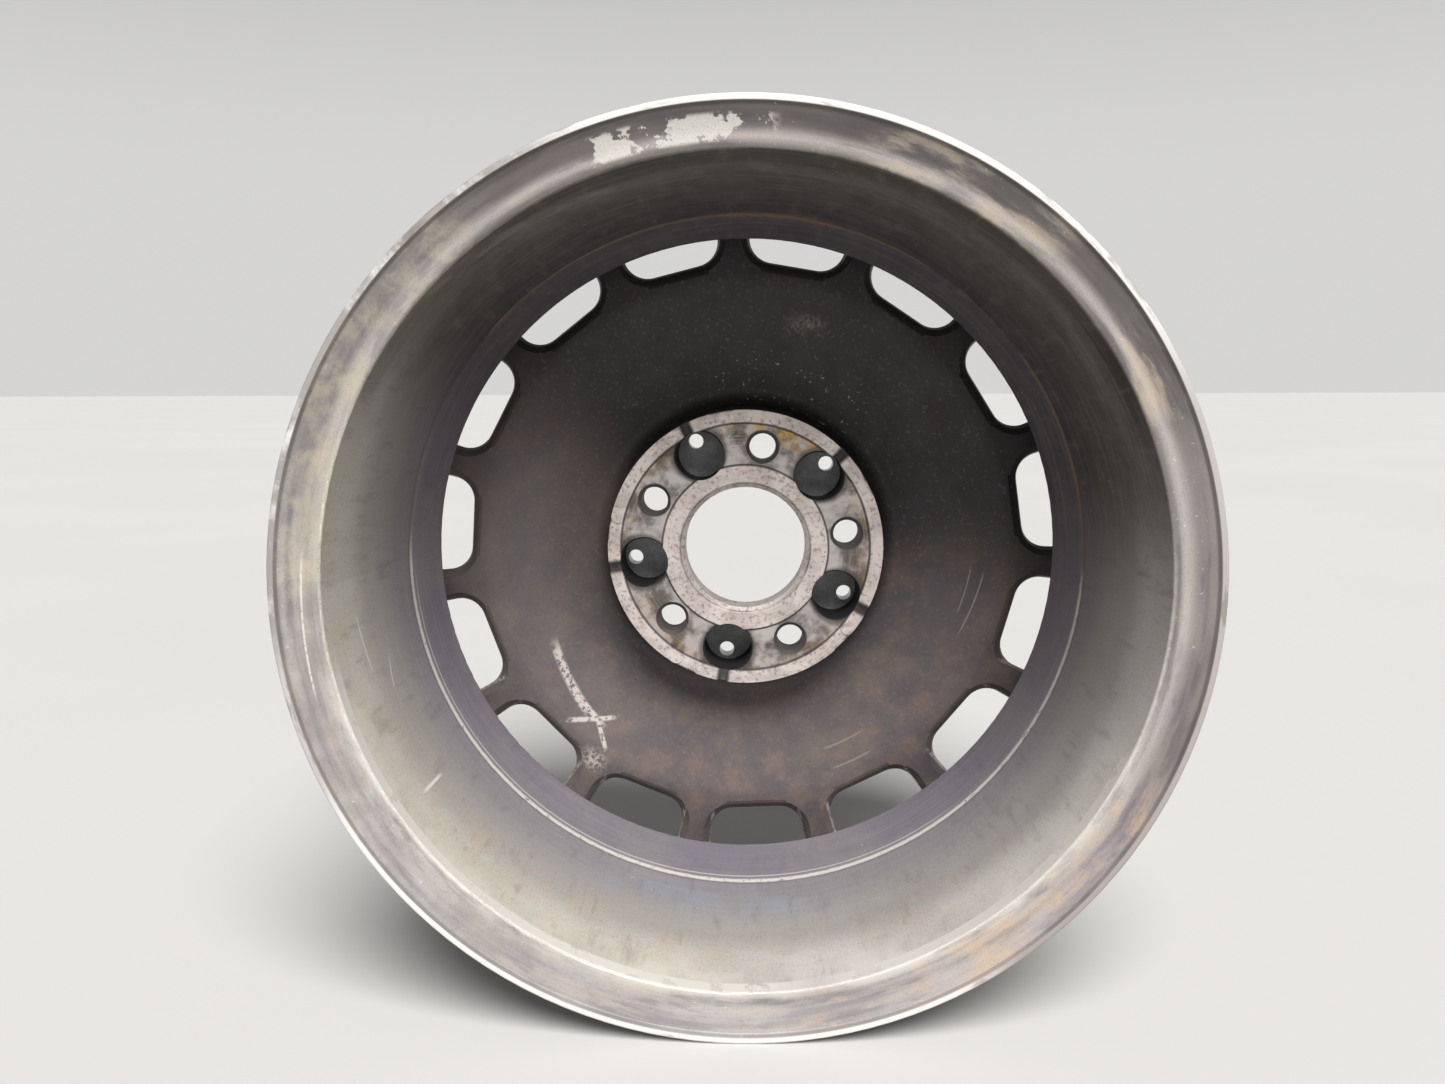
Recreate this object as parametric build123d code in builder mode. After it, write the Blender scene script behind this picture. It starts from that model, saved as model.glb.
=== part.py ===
"""Forged light-alloy road wheel with its clamp-in tubeless valve.

Frame: origin at the wheel's centre, wheel axis along Y, outboard face towards -Y, +Z up.
Depths are measured along the axis from the inboard lip (y = +OVERALL_WIDTH / 2) towards outboard.
All sizes are in millimetres.
"""
from build123d import *
import math
import os

os.makedirs("parts", exist_ok=True)

# ---------------------------------------------------------------- driving dimensions
INCH = 25.4
RIM_WIDTH = 6.5 * INCH            # between the tyre's bead faces
SEAT_RADIUS = 380.2 / 2           # bead seat of the 15 inch rim size
FLANGE_HEIGHT = 17.4              # tyre flange above the bead seat
FLANGE_WIDTH = 12.45              # bead face to lip
OFFSET = 49.0                     # hub face outboard of the rim's centre plane
PCD = 112.0                       # bolt circle
BOLT_COUNT = 5
BORE_DIAMETER = 66.6              # hub centring bore
WINDOW_COUNT = 15
WALL = 4.8                        # rim wall
STANDING_ANGLE = 9.8              # how far the wheel is rolled past a bolt hole at the top

# ---------------------------------------------------------------- sizes worked out from them
OVERALL_WIDTH = RIM_WIDTH + 2 * FLANGE_WIDTH
LIP_RADIUS = SEAT_RADIUS + FLANGE_HEIGHT
HUB_FACE = OVERALL_WIDTH / 2 + OFFSET
BORE_RADIUS = BORE_DIAMETER / 2
FIRST_BOLT = 90 + STANDING_ANGLE
FIRST_POCKET = FIRST_BOLT + 180 / BOLT_COUNT
BOLT_PITCH = 360 / BOLT_COUNT
WINDOW_PITCH = 360 / WINDOW_COUNT


def at_depth(depth):
    """Plane across the wheel axis, facing outboard, at a depth from the inboard lip."""
    return Plane.XZ.offset(depth - OVERALL_WIDTH / 2)


def station(radius, depth):
    """Point of the turned section: radius from the axis and depth from the inboard lip."""
    return (radius, OVERALL_WIDTH / 2 - depth)


def polar(radius, angle):
    """Point on a plane across the axis, with the angle in degrees from +X towards +Z."""
    return (radius * math.cos(math.radians(angle)), radius * math.sin(math.radians(angle)))


# ---------------------------------------------------------------- rim section
LIP_EDGE = 3.0                    # flat turned edge of each lip
LIP_CORNER = 1.2
FLANGE_CURL = 9.5                 # radius of the flange's outer curl
BEAD_CORNER = 6.0
SEAT_LENGTH = 22.0                # bead face to the hump's crest
SEAT_TAPER = math.tan(math.radians(5))
HUMP_HEIGHT = 1.2
HUMP_LENGTH = 8.0
HUMP_ROUND = 3.0
SHELF_OUTER_RADIUS = 186.0        # barrel's inside, next to the inboard flange
SHELF_OUTER_DEPTH = 6.0
SHELF_CORNER = 1.2
FLANGE_COVE_RADIUS = 194.0        # middle of the flange's hollow back
FLANGE_COVE_DEPTH = 5.4
FLANGE_COVE_ROUND = 30.0
LIP_STEP = 1.6                    # lip stands proud of the flange's hollow back
SHELF_END_RADIUS = 172.2          # barrel's inside, where it starts to close in
SHELF_END_DEPTH = 101.0
THROAT_RADIUS = 163.7             # barrel's narrowest inside
THROAT_DEPTH = 133.5
WELL_WALL = 6.2                   # along the axis, outboard wall of the well
WELL_WALL_LEAN = math.radians(7)
WELL_RADIUS = THROAT_RADIUS + WALL + 1.6
WELL_ROUND = 5.0
OUTBOARD_BEAD = FLANGE_WIDTH + RIM_WIDTH
INBOARD_HUMP = FLANGE_WIDTH + SEAT_LENGTH
OUTBOARD_HUMP = OUTBOARD_BEAD - SEAT_LENGTH
HALF_HUMP = HUMP_LENGTH / 2
SEAT_END_RADIUS = SEAT_RADIUS - SEAT_TAPER * (SEAT_LENGTH - HALF_HUMP)
LEDGE_RADIUS = SEAT_END_RADIUS - 0.4
UNDERSEAT_RADIUS = LEDGE_RADIUS - WALL + 0.6   # inside of the outboard seat


def well_wall_back(radius):
    """Depth of the well wall's outboard side at a radius. It leans away from the throat."""
    return THROAT_DEPTH + (radius - THROAT_RADIUS) * math.tan(WELL_WALL_LEAN)


def well_wall_front(radius):
    """Depth of the well wall's tyre side at a radius."""
    return well_wall_back(radius) - WELL_WALL


# tyre side, from the inboard lip to the outboard lip: (radius, depth, corner radius)
TYRE_SIDE = [
    (LIP_RADIUS, 0, LIP_CORNER),
    (LIP_RADIUS, FLANGE_WIDTH, FLANGE_CURL),
    (SEAT_RADIUS, FLANGE_WIDTH, BEAD_CORNER),
    (SEAT_END_RADIUS, INBOARD_HUMP - HALF_HUMP, HUMP_ROUND),
    (SEAT_END_RADIUS + HUMP_HEIGHT, INBOARD_HUMP, HUMP_ROUND),
    (LEDGE_RADIUS, INBOARD_HUMP + HALF_HUMP, HUMP_ROUND),
    (SHELF_END_RADIUS + WALL, SHELF_END_DEPTH, 2 * WELL_ROUND),
    (WELL_RADIUS, well_wall_front(WELL_RADIUS), WELL_ROUND),
    (LEDGE_RADIUS, well_wall_front(LEDGE_RADIUS), WELL_ROUND),
    (LEDGE_RADIUS, OUTBOARD_HUMP - HALF_HUMP, HUMP_ROUND),
    (SEAT_END_RADIUS + HUMP_HEIGHT, OUTBOARD_HUMP, HUMP_ROUND),
    (SEAT_END_RADIUS, OUTBOARD_HUMP + HALF_HUMP, HUMP_ROUND),
    (SEAT_RADIUS, OUTBOARD_BEAD, BEAD_CORNER),
    (LIP_RADIUS, OUTBOARD_BEAD, FLANGE_CURL),
    (LIP_RADIUS, OVERALL_WIDTH, LIP_CORNER),
]

# ---------------------------------------------------------------- disc and hub section
CAP_RECESS_RADIUS = 37.5
BORE_END_DEPTH = 164.0
HUB_FRONT_DEPTH = 187.5
LAND_INNER_RADIUS = 36.3
LAND_OUTER_RADIUS = 45.5
PAD_INNER_RADIUS = 68.1
PAD_OUTER_RADIUS = 75.3
PAD_RELIEF = 1.0                  # annulus sunk between the two lands of the hub face
RELIEF_DEPTH = HUB_FACE + PAD_RELIEF
BOSS_FOOT_RADIUS = 78.0
BOSS_FOOT_DEPTH = 175.0
DISC_CREST_RADIUS = 146.0         # disc's back stands furthest inboard here
DISC_CREST_DEPTH = 162.5
WEB_BACK_DEPTH = 164.0
FACE_EDGE_RADIUS = 90.0           # flat middle of the front
WINDOW_FRONT_DEPTH = 175.5
HUB_EDGE = 1.0                    # rounding of the cap recess's edges
BOSS_FOOT_ROUND = 9.0

# front, from the outboard lip in to the bore
FRONT_SIDE = [
    (LIP_RADIUS - LIP_EDGE, OVERALL_WIDTH, 0.8),
    (LIP_RADIUS - 2 * LIP_EDGE, OVERALL_WIDTH - 2.0, 2.5),
    (UNDERSEAT_RADIUS + 4, OVERALL_WIDTH - 4.5, 4),
    (UNDERSEAT_RADIUS - 1, WINDOW_FRONT_DEPTH, 4),
    (DISC_CREST_RADIUS + 8, WINDOW_FRONT_DEPTH - 0.5, 30),
    (FACE_EDGE_RADIUS, HUB_FRONT_DEPTH, 40),
    (CAP_RECESS_RADIUS, HUB_FRONT_DEPTH, HUB_EDGE),
    (CAP_RECESS_RADIUS, BORE_END_DEPTH, HUB_EDGE),
    (BORE_RADIUS, BORE_END_DEPTH, 0),
]

# back, from the bore out to the inboard lip
BACK_SIDE = [
    (BORE_RADIUS, HUB_FACE + (LAND_INNER_RADIUS - BORE_RADIUS), 0),
    (LAND_INNER_RADIUS, HUB_FACE, 0),
    (LAND_OUTER_RADIUS, HUB_FACE, 0.3),
    (LAND_OUTER_RADIUS, RELIEF_DEPTH, 0),
    (PAD_OUTER_RADIUS, RELIEF_DEPTH, HUB_EDGE),
    (BOSS_FOOT_RADIUS, BOSS_FOOT_DEPTH, BOSS_FOOT_ROUND),
    (DISC_CREST_RADIUS, DISC_CREST_DEPTH, 25),
    (UNDERSEAT_RADIUS, WEB_BACK_DEPTH, 2.5),
    (UNDERSEAT_RADIUS, well_wall_back(UNDERSEAT_RADIUS), 2.5),
    (THROAT_RADIUS, THROAT_DEPTH, 1.5),
    (SHELF_END_RADIUS, SHELF_END_DEPTH, 0.6),
    (SHELF_OUTER_RADIUS, SHELF_OUTER_DEPTH, SHELF_CORNER),
    (FLANGE_COVE_RADIUS, FLANGE_COVE_DEPTH, FLANGE_COVE_ROUND),
    (LIP_RADIUS - 1.5 * LIP_EDGE, LIP_STEP, 0.8),
    (LIP_RADIUS - LIP_EDGE, 0, 0.6),
]

WHEEL_SECTION = TYRE_SIDE + FRONT_SIDE + BACK_SIDE

# ---------------------------------------------------------------- windows
WINDOW_WAIST_DEPTH = 171.0        # the drafts from back and front meet here
WINDOW_INNER_RADIUS = 155.5
WINDOW_OUTER_RADIUS = 181.5
WINDOW_HALF_ANGLE = 9.0
WINDOW_INNER_CORNER = 13.5
WINDOW_OUTER_CORNER = 5.0
WINDOW_BACK_DRAFT = 16
WINDOW_FRONT_DRAFT = 10
WINDOW_BACK_REACH = 14.0
WINDOW_FRONT_REACH = 20.0
WINDOW_LIMIT_RADIUS = WINDOW_OUTER_RADIUS + 1.5
BEVEL_START = 5.0                 # height above the waist where the window's back edge is bevelled
BEVEL_ANGLE = 48
BEVEL_REACH = 10.0
FRONT_BEVEL = 1.4
SCOOP_DEPTH = 165.0               # scoop's floor, where it meets the window's inner edge
SCOOP_RISE = math.radians(21)
SCOOP_LENGTH = 13.0
SCOOP_HALF_WIDTH = 17.0
SCOOP_CORNER = 6.0
SCOOP_SIDE_SLOPE = 45


def window_outline():
    """Rounded window with a straight inner edge and a curved outer edge, centred on a bolt hole."""
    corner_radius = WINDOW_INNER_RADIUS / math.cos(math.radians(WINDOW_HALF_ANGLE))
    inner = [polar(corner_radius, FIRST_BOLT + side * WINDOW_HALF_ANGLE) for side in (-1, 1)]
    outer = [polar(WINDOW_OUTER_RADIUS, FIRST_BOLT + side * WINDOW_HALF_ANGLE) for side in (-1, 1)]
    with BuildSketch(Plane.XY) as outline:
        with BuildLine():
            Polyline(outer[0], inner[0], inner[1], outer[1])
            ThreePointArc(outer[1], polar(WINDOW_OUTER_RADIUS, FIRST_BOLT), outer[0])
        make_face()
        corners = outline.vertices().sort_by_distance((0, 0))
        fillet(corners[:2], WINDOW_INNER_CORNER)
        corners = outline.vertices().sort_by_distance((0, 0))
        fillet(corners[-2:], WINDOW_OUTER_CORNER)
    return outline.sketch


WINDOW_OUTLINE = window_outline()


def facing_back(depth):
    """Plane across the axis facing inboard, with the same in-plane axes mirrored in X."""
    return Plane(origin=(0, OVERALL_WIDTH / 2 - depth, 0), x_dir=(-1, 0, 0), z_dir=(0, 1, 0))


def window_cutter():
    """Solid that cuts one window: front draft, back draft, bevelled back edge and inner scoop."""
    bevel_offset = BEVEL_START * math.tan(math.radians(WINDOW_BACK_DRAFT))
    front_height = WINDOW_FRONT_DEPTH - FRONT_BEVEL - WINDOW_WAIST_DEPTH
    front_offset = front_height * math.tan(math.radians(WINDOW_FRONT_DRAFT))
    scoop_origin = polar(WINDOW_INNER_RADIUS, FIRST_BOLT)
    inward = polar(-1, FIRST_BOLT)
    along = (math.cos(SCOOP_RISE) * inward[0], math.sin(SCOOP_RISE), math.cos(SCOOP_RISE) * inward[1])
    across = (-inward[1], 0, inward[0])
    scoop_floor = Plane(
        origin=(scoop_origin[0], OVERALL_WIDTH / 2 - SCOOP_DEPTH, scoop_origin[1]),
        x_dir=across,
        z_dir=Vector(*across).cross(Vector(*along)),
    )
    with BuildPart() as cutter:
        with BuildSketch(at_depth(WINDOW_WAIST_DEPTH)):
            add(WINDOW_OUTLINE)
        extrude(amount=WINDOW_FRONT_REACH, taper=-WINDOW_FRONT_DRAFT)
        with BuildSketch(facing_back(WINDOW_WAIST_DEPTH)):
            add(mirror(WINDOW_OUTLINE, about=Plane.YZ, mode=Mode.PRIVATE))
        extrude(amount=WINDOW_BACK_REACH, taper=-WINDOW_BACK_DRAFT)
        with BuildSketch(facing_back(WINDOW_WAIST_DEPTH - BEVEL_START)):
            add(mirror(WINDOW_OUTLINE, about=Plane.YZ, mode=Mode.PRIVATE))
            offset(amount=bevel_offset)
        extrude(amount=BEVEL_REACH, taper=-BEVEL_ANGLE)
        with BuildSketch(at_depth(WINDOW_FRONT_DEPTH - FRONT_BEVEL)):
            add(WINDOW_OUTLINE)
            offset(amount=front_offset)
        extrude(amount=BEVEL_REACH, taper=-BEVEL_ANGLE)
        with BuildSketch(scoop_floor):
            with Locations((0, SCOOP_LENGTH / 2 - WINDOW_INNER_CORNER / 2)):
                RectangleRounded(
                    2 * SCOOP_HALF_WIDTH, SCOOP_LENGTH + WINDOW_INNER_CORNER, SCOOP_CORNER
                )
        extrude(amount=BEVEL_REACH, taper=-SCOOP_SIDE_SLOPE)
        # the rim's outboard seat stays whole
        with BuildSketch(at_depth(WINDOW_WAIST_DEPTH - 2 * BEVEL_REACH)):
            Circle(WINDOW_LIMIT_RADIUS)
        extrude(amount=4 * BEVEL_REACH, mode=Mode.INTERSECT)
    return cutter.part


WINDOW_CUTTER = window_cutter()

# ---------------------------------------------------------------- valve place
VALVE_RADIUS = 177.6              # where the valve's axis meets the tyre side of the well wall
SPOTFACE_SINK = 0.4               # spot face sunk into the well wall
VALVE_DEPTH = well_wall_front(VALVE_RADIUS) + SPOTFACE_SINK
VALVE_LEAN = WELL_WALL_LEAN
VALVE_HOLE_RADIUS = 4.15
SPOTFACE_RADIUS = 6.9
SPOTFACE_REACH = 8.0
CLAMPED_WALL = 5.4                # wall left between the two spot faces

valve_point = polar(VALVE_RADIUS, FIRST_BOLT)
valve_out = polar(-math.sin(VALVE_LEAN), FIRST_BOLT)
VALVE_ORIGIN = Vector(valve_point[0], OVERALL_WIDTH / 2 - VALVE_DEPTH, valve_point[1])
VALVE_DIRECTION = Vector(valve_out[0], -math.cos(VALVE_LEAN), valve_out[1])
VALVE_ACROSS = Vector(-math.sin(math.radians(FIRST_BOLT)), 0, math.cos(math.radians(FIRST_BOLT)))
VALVE_SEAT = Plane(origin=VALVE_ORIGIN, x_dir=VALVE_ACROSS, z_dir=VALVE_DIRECTION)
VALVE_SECTION = Plane(
    origin=VALVE_ORIGIN, x_dir=VALVE_ACROSS, z_dir=VALVE_ACROSS.cross(VALVE_DIRECTION)
)
VALVE_AXIS = Axis(VALVE_ORIGIN, VALVE_DIRECTION)

# ---------------------------------------------------------------- forging
BOLT_HOLE_RADIUS = 7.25
BOLT_MOUTH_RADIUS = 9.0
BALL_SEAT_RADIUS = 14.0
BALL_SEAT_DEPTH = 175.0
POCKET_RADIUS = 13.2
POCKET_MOUTH = 0.9
POCKET_FLOOR_DEPTH = 175.0
DRAIN_RADIUS = 4.2
DRAIN_CIRCLE_RADIUS = 63.5
NOTCH_WIDTH = 5.0
NOTCH_DEPTH = 4.0
PAD_GAP_ANGLE = 6.0               # between the rounded ends of neighbouring pad segments
CIRCLE_RADIUS = PCD / 2
THROUGH = OVERALL_WIDTH

with BuildPart() as wheel_forging:
    # turned section of rim, disc and hub
    with BuildSketch(Plane.XY):
        with BuildLine():
            FilletPolyline(
                [station(radius, depth) for radius, depth, corner in WHEEL_SECTION],
                radius=[corner for radius, depth, corner in WHEEL_SECTION],
                close=True,
            )
        make_face()
    revolve(axis=Axis.Y)

    # five raised segments of the hub face's outer land, with rounded ends
    pad_width = PAD_OUTER_RADIUS - PAD_INNER_RADIUS
    pad_middle = (PAD_OUTER_RADIUS + PAD_INNER_RADIUS) / 2
    end_angle = math.degrees(pad_width / 2 / pad_middle)
    segment = BOLT_PITCH - PAD_GAP_ANGLE - 2 * end_angle
    with BuildSketch(at_depth(HUB_FACE)):
        for turn in range(BOLT_COUNT):
            start = FIRST_BOLT + turn * BOLT_PITCH - segment / 2
            SlotArc(CenterArc((0, 0), pad_middle, start, segment, mode=Mode.PRIVATE), pad_width)
    extrude(amount=PAD_RELIEF + 0.5)

    # bolt holes with a countersunk mouth at the back and a ball seat at the front
    with BuildSketch(at_depth(HUB_FACE)):
        with PolarLocations(CIRCLE_RADIUS, BOLT_COUNT, FIRST_BOLT):
            Circle(BOLT_HOLE_RADIUS)
    extrude(amount=THROUGH, mode=Mode.SUBTRACT)
    with BuildSketch(at_depth(RELIEF_DEPTH)):
        with PolarLocations(CIRCLE_RADIUS, BOLT_COUNT, FIRST_BOLT):
            Circle(BOLT_MOUTH_RADIUS)
    extrude(amount=BOLT_MOUTH_RADIUS - BOLT_HOLE_RADIUS, taper=44, mode=Mode.SUBTRACT)
    with BuildSketch(at_depth(BALL_SEAT_DEPTH)):
        with PolarLocations(CIRCLE_RADIUS, BOLT_COUNT, FIRST_BOLT):
            Circle(BALL_SEAT_RADIUS)
    extrude(amount=THROUGH, mode=Mode.SUBTRACT)
    with Locations(at_depth(BALL_SEAT_DEPTH)):
        with PolarLocations(CIRCLE_RADIUS, BOLT_COUNT, FIRST_BOLT):
            Sphere(BALL_SEAT_RADIUS, mode=Mode.SUBTRACT)

    # lightening pockets between the bolts, each with a drain hole through to the front
    with BuildSketch(at_depth(HUB_FACE - 1)):
        with PolarLocations(CIRCLE_RADIUS, BOLT_COUNT, FIRST_POCKET):
            Circle(POCKET_RADIUS)
    extrude(amount=POCKET_FLOOR_DEPTH - HUB_FACE + 1, mode=Mode.SUBTRACT)
    with BuildSketch(at_depth(RELIEF_DEPTH)):
        with PolarLocations(CIRCLE_RADIUS, BOLT_COUNT, FIRST_POCKET):
            Circle(POCKET_RADIUS + POCKET_MOUTH)
    extrude(amount=POCKET_MOUTH, taper=44, mode=Mode.SUBTRACT)
    with BuildSketch(at_depth(HUB_FACE)):
        with PolarLocations(DRAIN_CIRCLE_RADIUS, BOLT_COUNT, FIRST_POCKET):
            Circle(DRAIN_RADIUS)
    extrude(amount=THROUGH, mode=Mode.SUBTRACT)
    with BuildSketch(at_depth(HUB_FACE)):
        with PolarLocations(PAD_OUTER_RADIUS, BOLT_COUNT, FIRST_POCKET):
            SlotOverall(4 * NOTCH_WIDTH, NOTCH_WIDTH)
    extrude(amount=NOTCH_DEPTH, mode=Mode.SUBTRACT)

    # fifteen windows
    for turn in range(WINDOW_COUNT):
        add(WINDOW_CUTTER.rotate(Axis.Y, turn * WINDOW_PITCH), mode=Mode.SUBTRACT)

    # valve hole, spot faced on both sides of the well wall
    with BuildSketch(VALVE_SEAT):
        Circle(VALVE_HOLE_RADIUS)
    extrude(amount=2 * SPOTFACE_REACH, mode=Mode.SUBTRACT)
    with BuildSketch(VALVE_SEAT.offset(-SPOTFACE_REACH)):
        Circle(SPOTFACE_RADIUS)
    extrude(amount=SPOTFACE_REACH, mode=Mode.SUBTRACT)
    with BuildSketch(VALVE_SEAT.offset(CLAMPED_WALL)):
        Circle(SPOTFACE_RADIUS)
    extrude(amount=SPOTFACE_REACH, mode=Mode.SUBTRACT)
wheel_forging.part.label = "wheel_forging"
export_step(wheel_forging.part, "parts/wheel_forging.step")


# ---------------------------------------------------------------- valve
# Heights are along the valve's axis from the tyre side of the well wall; plus is towards the cap.
THREAD_PITCH = 25.4 / 32
THREAD_CREST = 3.85
THREAD_DEPTH = 0.42
HEAD_RADIUS = 6.7
HEAD_THICK = 2.2
GASKET_THICK = 2.2
WASHER_THICK = 1.2
WASHER_RADIUS = 6.6
NUT_THICK = 4.5
NUT_ACROSS_FLATS = 11.0
FREE_THREAD = 12.0
RUNNING_CLEARANCE = 0.05
LOOSE_CLEARANCE = 0.2
CORE_BORE = 2.1
AIR_BORE = 1.6
CORE_HEAD_RADIUS = 2.6
CORE_SEAT_DEPTH = 4.2             # core's shoulder below the stem's mouth
CORE_LENGTH = 8.7
CHAMBER_DEPTH = 14.4
EDGE = 0.3                        # small chamfer on turned edges
HEAD_EDGE = 0.6

washer_top = CLAMPED_WALL + WASHER_THICK
nut_top = washer_top + NUT_THICK
mouth = nut_top + FREE_THREAD
head_bottom = -GASKET_THICK - HEAD_THICK
nut_bore = THREAD_CREST + RUNNING_CLEARANCE


def turned(*outline):
    """Solid turned about the valve's axis from (radius, height) corners."""
    with BuildPart() as piece:
        with BuildSketch(VALVE_SECTION):
            with BuildLine():
                Polyline(*outline, close=True)
            make_face()
        revolve(axis=VALVE_AXIS)
    return piece.part


def save(piece, name):
    """Name a finished piece and write its file."""
    piece.part.label = name
    export_step(piece.part, f"parts/{name}.step")


def thread_corners(start, end):
    """Corners of plain thread grooves between two heights."""
    corners = []
    for turn in range(int((end - start) / THREAD_PITCH)):
        root = start + (turn + 0.5) * THREAD_PITCH
        corners.append((THREAD_CREST, root - THREAD_PITCH * 0.4))
        corners.append((THREAD_CREST - THREAD_DEPTH, root))
        corners.append((THREAD_CREST, root + THREAD_PITCH * 0.4))
    return corners


# stem: flanged head, threaded shank, air bore, core chamber and core seat
core_seat = mouth - CORE_SEAT_DEPTH
chamber_top = core_seat - (CORE_HEAD_RADIUS - CORE_BORE)
chamber_bottom = mouth - CHAMBER_DEPTH
core_bore = CORE_HEAD_RADIUS + RUNNING_CLEARANCE
with BuildPart() as valve_stem:
    add(turned(
        (AIR_BORE, head_bottom),
        (HEAD_RADIUS - HEAD_EDGE, head_bottom),
        (HEAD_RADIUS, head_bottom + HEAD_EDGE),
        (HEAD_RADIUS, -GASKET_THICK),
        (THREAD_CREST, -GASKET_THICK),
        *thread_corners(washer_top + EDGE, mouth - 2 * EDGE),
        (THREAD_CREST, mouth - 2 * EDGE),
        (THREAD_CREST - 2 * EDGE, mouth),
        (core_bore + EDGE, mouth),
        (core_bore, mouth - EDGE),
        (core_bore, core_seat),
        (CORE_BORE, chamber_top),
        (CORE_BORE, chamber_bottom),
        (AIR_BORE, chamber_bottom - (CORE_BORE - AIR_BORE)),
    ))
save(valve_stem, "valve_stem")

# gasket between the head and the wall, squeezed to a slight bulge
with BuildPart() as valve_gasket:
    add(turned(
        (nut_bore, -GASKET_THICK),
        (HEAD_RADIUS - EDGE, -GASKET_THICK),
        (HEAD_RADIUS, -GASKET_THICK / 2),
        (HEAD_RADIUS - EDGE, 0),
        (nut_bore, 0),
    ))
save(valve_gasket, "valve_gasket")

with BuildPart() as valve_washer:
    add(turned(
        (THREAD_CREST + LOOSE_CLEARANCE, CLAMPED_WALL),
        (WASHER_RADIUS - EDGE, CLAMPED_WALL),
        (WASHER_RADIUS, CLAMPED_WALL + EDGE),
        (WASHER_RADIUS - EDGE, washer_top),
        (THREAD_CREST + LOOSE_CLEARANCE, washer_top),
    ))
save(valve_washer, "valve_washer")

# hexagon nut with turned corners
nut_corner = NUT_ACROSS_FLATS / 2 / math.cos(math.radians(30))
with BuildPart() as valve_nut:
    with BuildSketch(VALVE_SEAT.offset(washer_top)):
        RegularPolygon(NUT_ACROSS_FLATS / 2, 6, major_radius=False)
        Circle(nut_bore, mode=Mode.SUBTRACT)
    extrude(amount=NUT_THICK)
    add(turned(
        (0, washer_top),
        (nut_corner - 2 * EDGE, washer_top),
        (nut_corner, washer_top + EDGE),
        (nut_corner, nut_top - 2 * EDGE),
        (nut_corner - 3 * EDGE, nut_top),
        (0, nut_top),
    ), mode=Mode.INTERSECT)
save(valve_nut, "valve_nut")

# core plug: screwed into the stem, with a spring chamber and a key slot
PIN_BORE = 0.75
NECK_RADIUS = 1.55
SPRING_CHAMBER = 1.15
CHAMBER_END = 1.0                 # plug's wall at each end of the spring chamber
KEY_SLOT = 0.9
plug_top = mouth - 2 * EDGE
plug_shoulder = core_seat + 0.2
plug_bottom = mouth - CORE_LENGTH
spring_floor = plug_bottom + CHAMBER_END
spring_roof = plug_top - CHAMBER_END - KEY_SLOT
with BuildPart() as core_plug:
    add(turned(
        (PIN_BORE, plug_bottom),
        (NECK_RADIUS, plug_bottom),
        (NECK_RADIUS, chamber_top - 0.2),
        (CORE_BORE - 0.1, chamber_top - 0.1),
        (CORE_HEAD_RADIUS, plug_shoulder),
        (CORE_HEAD_RADIUS, plug_top - EDGE),
        (CORE_HEAD_RADIUS - EDGE, plug_top),
        (PIN_BORE, plug_top),
        (PIN_BORE, spring_roof),
        (SPRING_CHAMBER, spring_roof),
        (SPRING_CHAMBER, spring_floor),
        (PIN_BORE, spring_floor),
    ))
    with BuildSketch(VALVE_SEAT.offset(plug_top)):
        Rectangle(3 * CORE_HEAD_RADIUS, KEY_SLOT)
    extrude(amount=-KEY_SLOT, mode=Mode.SUBTRACT)
save(core_plug, "core_plug")

# gasket on the plug's neck, tapered to the stem's bore
gasket_bore = NECK_RADIUS + 0.01
gasket_rim = CORE_BORE - 0.02
with BuildPart() as core_gasket:
    add(turned(
        (gasket_bore, plug_bottom + 2 * EDGE),
        (gasket_rim - EDGE / 2, plug_bottom + 3 * EDGE),
        (gasket_rim, chamber_top - 3 * EDGE),
        (gasket_rim, chamber_top - 1.5 * EDGE),
        (gasket_bore, chamber_top - EDGE),
    ))
save(core_gasket, "core_gasket")

# pin with the collar that the spring pushes and the rivet that holds the cup
PIN_RADIUS = 0.45
COLLAR_RADIUS = 1.05
COLLAR_THICK = 0.5
PIN_SINK = 0.4                    # pin's tip below the stem's mouth
RIVET_RADIUS = 0.75
RIVET_THICK = 0.35
SEAL_THICK = 0.9
CUP_FLOOR = 0.8
CUP_RADIUS = 1.75
collar_top = spring_roof - 0.05
collar_bottom = collar_top - COLLAR_THICK
seal_top = plug_bottom - 0.02
seal_bottom = seal_top - SEAL_THICK
cup_bottom = seal_bottom - CUP_FLOOR
with BuildPart() as core_pin:
    add(turned(
        (0, cup_bottom - RIVET_THICK),
        (RIVET_RADIUS, cup_bottom - RIVET_THICK),
        (RIVET_RADIUS, cup_bottom - 0.05),
        (PIN_RADIUS, cup_bottom),
        (PIN_RADIUS, collar_bottom),
        (COLLAR_RADIUS, collar_bottom),
        (COLLAR_RADIUS, collar_top),
        (PIN_RADIUS, collar_top),
        (PIN_RADIUS, mouth - PIN_SINK - EDGE / 2),
        (PIN_RADIUS - EDGE / 2, mouth - PIN_SINK),
        (0, mouth - PIN_SINK),
    ))
save(core_pin, "core_pin")

cup_bore = PIN_RADIUS + 0.02
cup_inside = CUP_RADIUS - 0.2
with BuildPart() as core_cup:
    add(turned(
        (cup_bore, cup_bottom),
        (cup_inside, cup_bottom),
        (CUP_RADIUS, cup_bottom + 0.2),
        (CUP_RADIUS, seal_top - RIVET_THICK),
        (cup_inside, seal_top - RIVET_THICK),
        (cup_inside, seal_bottom),
        (cup_bore, seal_bottom),
    ))
save(core_cup, "core_cup")

with BuildPart() as core_cup_seal:
    add(turned(
        (cup_bore + 0.01, seal_bottom),
        (cup_inside - 0.03, seal_bottom),
        (cup_inside - 0.03, seal_top),
        (cup_bore + 0.01, seal_top),
    ))
save(core_cup_seal, "core_cup_seal")

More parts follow.
